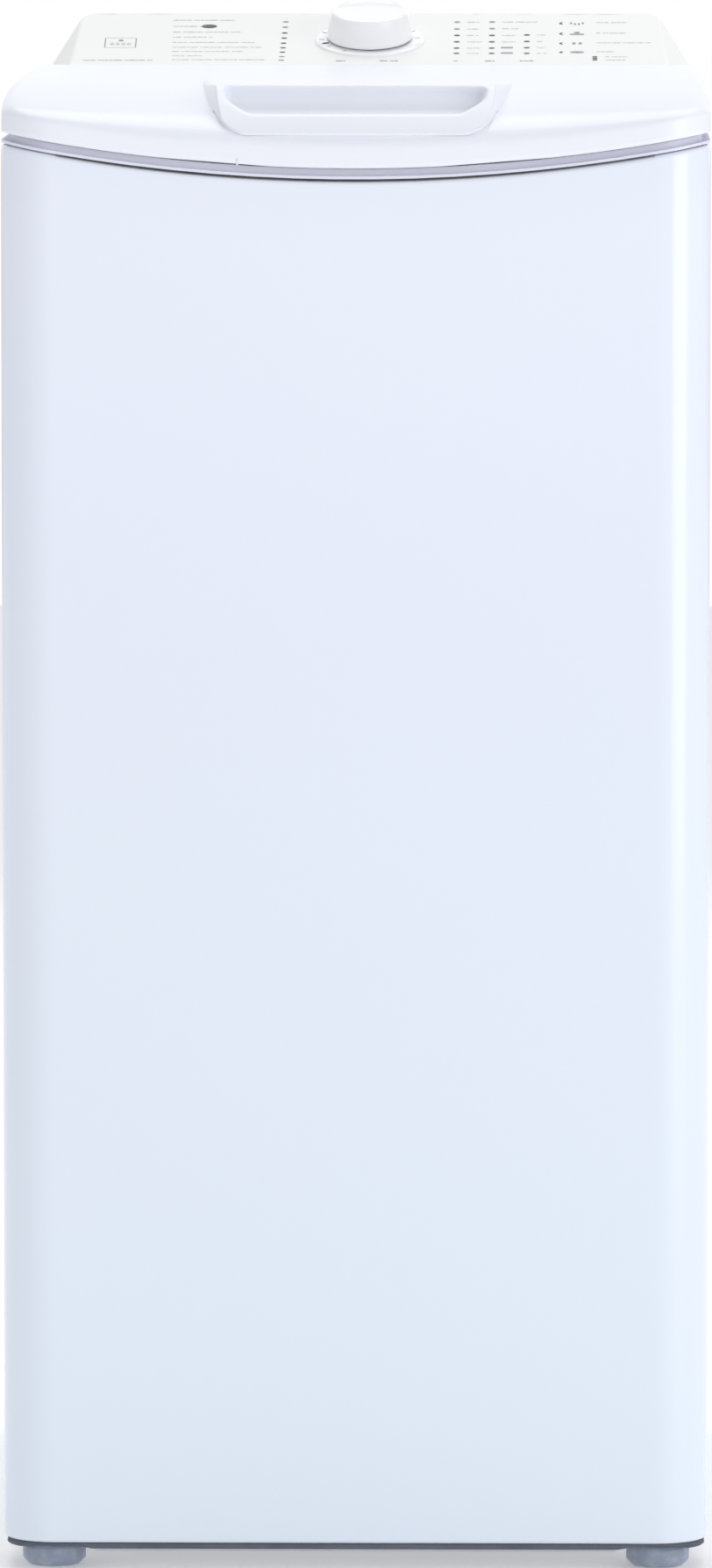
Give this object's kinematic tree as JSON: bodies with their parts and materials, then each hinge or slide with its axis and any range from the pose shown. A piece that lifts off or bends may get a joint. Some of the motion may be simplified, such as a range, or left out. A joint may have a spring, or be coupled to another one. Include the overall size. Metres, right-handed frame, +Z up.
{
  "type": "top load washing machine",
  "caption": "Slim top-loading washing machine with a rolled front lid, finger-grip hood, sloped control console, rotary programme knob and a horizontal drum reached through two flaps.",
  "frame": {"origin": "on the floor under the middle of the machine", "axes": "+X to the right seen from the front, +Y to the back, +Z up"},
  "size_m": [0.4, 0.6, 0.8781],
  "materials": {
    "enamel": "gloss white enamelled steel sheet",
    "zinc_sheet": "galvanised steel sheet",
    "tray_plastic": "light grey moulded plastic",
    "frame_plastic": "white moulded plastic",
    "console_plastic": "warm white moulded plastic, satin",
    "lid_plastic": "gloss white moulded plastic",
    "knob_plastic": "gloss white moulded plastic",
    "valve_plastic": "white moulded plastic",
    "tub_plastic": "grey filled polypropylene",
    "dark_plastic": "black moulded plastic",
    "foot_plastic": "blue-grey moulded plastic",
    "latch_plastic": "blue moulded plastic",
    "board": "circuit board laminate",
    "rubber": "black and grey rubber",
    "weight": "cast concrete counterweight, grey",
    "dark_metal": "dark painted motor housing",
    "steel": "zinc plated steel",
    "spring_steel": "dark spring steel",
    "stainless": "brushed stainless steel",
    "aluminium": "cast aluminium"
  },
  "bodies": {
    "cabinet": {"front_panel": "enamel", "side_panel_left": "enamel", "side_panel_right": "enamel", "back_panel": "zinc_sheet", "base_tray": "tray_plastic", "top_frame": "frame_plastic", "console_shell": "console_plastic", "console_fascia": "console_plastic", "control_board": "board", "knob_bezel": "knob_plastic", "hinge_brackets": "steel", "lid_lock": "dark_plastic", "fill_valve": "valve_plastic", "fill_hose": "rubber", "drain_pump": "tray_plastic", "drain_outlet": "dark_plastic", "cable_gland": "dark_plastic", "transit_plugs": "valve_plastic", "damper_tubes": "dark_plastic", "spring_hangers": "steel", "panel_screws": "steel", "suspension_springs": "spring_steel", "mouth_bellows": "rubber"},
    "lid": {"lid_shell": "lid_plastic", "lid_liner": "lid_plastic", "dispenser_tray": "tray_plastic", "lid_catch": "dark_plastic"},
    "knob": {"programme_knob": "knob_plastic"},
    "key_1": {"button_1": "knob_plastic"},
    "key_2": {"button_2": "knob_plastic"},
    "key_3": {"button_3": "knob_plastic"},
    "key_4": {"button_4": "knob_plastic"},
    "key_5": {"button_5": "knob_plastic"},
    "leveller_front_left": {"foot_front_left": "foot_plastic"},
    "leveller_front_right": {"foot_front_right": "foot_plastic"},
    "leveller_back_left": {"foot_back_left": "foot_plastic"},
    "leveller_back_right": {"foot_back_right": "foot_plastic"},
    "tub": {"tub_wall": "tub_plastic", "tub_end_left": "tub_plastic", "tub_end_right": "tub_plastic", "tub_neck": "tub_plastic", "counterweights": "weight", "drum_bearings": "steel", "heater": "steel", "motor_housing": "dark_metal", "damper_rods": "steel", "drive_belt": "rubber"},
    "drum": {"drum_wall": "stainless", "drum_end_left": "stainless", "drum_end_right": "stainless", "drum_lifters": "valve_plastic", "drum_pulley": "aluminium"},
    "front_flap": {"flap_front": "stainless"},
    "rear_flap": {"flap_rear": "stainless"},
    "latch": {"flap_latch": "latch_plastic"},
    "rotor": {"motor_rotor": "steel"},
    "impeller": {"pump_impeller": "valve_plastic"}
  },
  "joints": [
    {"name": "lid_hinge", "type": "hinge", "parent": "cabinet", "child": "lid", "pos_m": [0, 0.13, 0.8325], "axis": [-1, 0, 0], "range_deg": [0, 92]},
    {"name": "knob_turn", "type": "hinge", "parent": "cabinet", "child": "knob", "pos_m": [0, 0.235, 0.8529], "axis": [0, -0.2843, 0.9587], "continuous": true},
    {"name": "button_1_press", "type": "slide", "parent": "cabinet", "child": "key_1", "axis": [0, 0.1869, -0.9824], "range_m": [0, 0.0015], "stiffness_N_per_m": 400, "springref_m": -0.002},
    {"name": "button_2_press", "type": "slide", "parent": "cabinet", "child": "key_2", "axis": [0, 0.1869, -0.9824], "range_m": [0, 0.0015], "stiffness_N_per_m": 400, "springref_m": -0.002},
    {"name": "button_3_press", "type": "slide", "parent": "cabinet", "child": "key_3", "axis": [0, 0.1869, -0.9824], "range_m": [0, 0.0015], "stiffness_N_per_m": 400, "springref_m": -0.002},
    {"name": "button_4_press", "type": "slide", "parent": "cabinet", "child": "key_4", "axis": [0, 0.1869, -0.9824], "range_m": [0, 0.0015], "stiffness_N_per_m": 400, "springref_m": -0.002},
    {"name": "button_5_press", "type": "slide", "parent": "cabinet", "child": "key_5", "axis": [0, 0.1869, -0.9824], "range_m": [0, 0.0015], "stiffness_N_per_m": 400, "springref_m": -0.002},
    {"name": "foot_front_left_turn", "type": "hinge", "parent": "cabinet", "child": "leveller_front_left", "pos_m": [-0.172, -0.262, 0.02], "axis": [0, 0, 1], "range_deg": [-1080, 1080]},
    {"name": "foot_front_right_turn", "type": "hinge", "parent": "cabinet", "child": "leveller_front_right", "pos_m": [0.172, -0.262, 0.02], "axis": [0, 0, 1], "range_deg": [-1080, 1080]},
    {"name": "foot_back_left_turn", "type": "hinge", "parent": "cabinet", "child": "leveller_back_left", "pos_m": [-0.172, 0.247, 0.02], "axis": [0, 0, 1], "range_deg": [-1080, 1080]},
    {"name": "foot_back_right_turn", "type": "hinge", "parent": "cabinet", "child": "leveller_back_right", "pos_m": [0.172, 0.247, 0.02], "axis": [0, 0, 1], "range_deg": [-1080, 1080]},
    {"name": "tub_bounce", "type": "slide", "parent": "cabinet", "child": "tub", "axis": [0, 0, 1], "range_m": [-0.012, 0.012], "stiffness_N_per_m": 30000, "springref_m": 0.01192, "deforming": ["suspension_springs", "mouth_bellows"]},
    {"name": "drum_spin", "type": "hinge", "parent": "tub", "child": "drum", "pos_m": [0, -0.035, 0.4], "axis": [1, 0, 0], "range_deg": [-360, 360]},
    {"name": "flap_front_hinge", "type": "hinge", "parent": "drum", "child": "front_flap", "pos_m": [0, -0.1573, 0.57986], "axis": [1, 0, 0], "range_deg": [0, 80]},
    {"name": "flap_rear_hinge", "type": "hinge", "parent": "drum", "child": "rear_flap", "pos_m": [0, 0.0873, 0.57986], "axis": [-1, 0, 0], "range_deg": [0, 80]},
    {"name": "latch_press", "type": "slide", "parent": "rear_flap", "child": "latch", "axis": [0, -0.0906, -0.9959], "range_m": [0, 0.003], "stiffness_N_per_m": 500, "springref_m": -0.003},
    {"name": "motor_spin", "type": "hinge", "parent": "tub", "child": "rotor", "pos_m": [0.18, 0.1, 0.112], "axis": [1, 0, 0], "range_deg": [-4300, 4300]},
    {"name": "pump_spin", "type": "hinge", "parent": "cabinet", "child": "impeller", "pos_m": [0, -0.19, 0.056], "axis": [1, 0, 0], "continuous": true}
  ],
  "couplings": [
    {"joint": "motor_spin", "follows": "drum_spin", "ratio": 11.818}
  ]
}
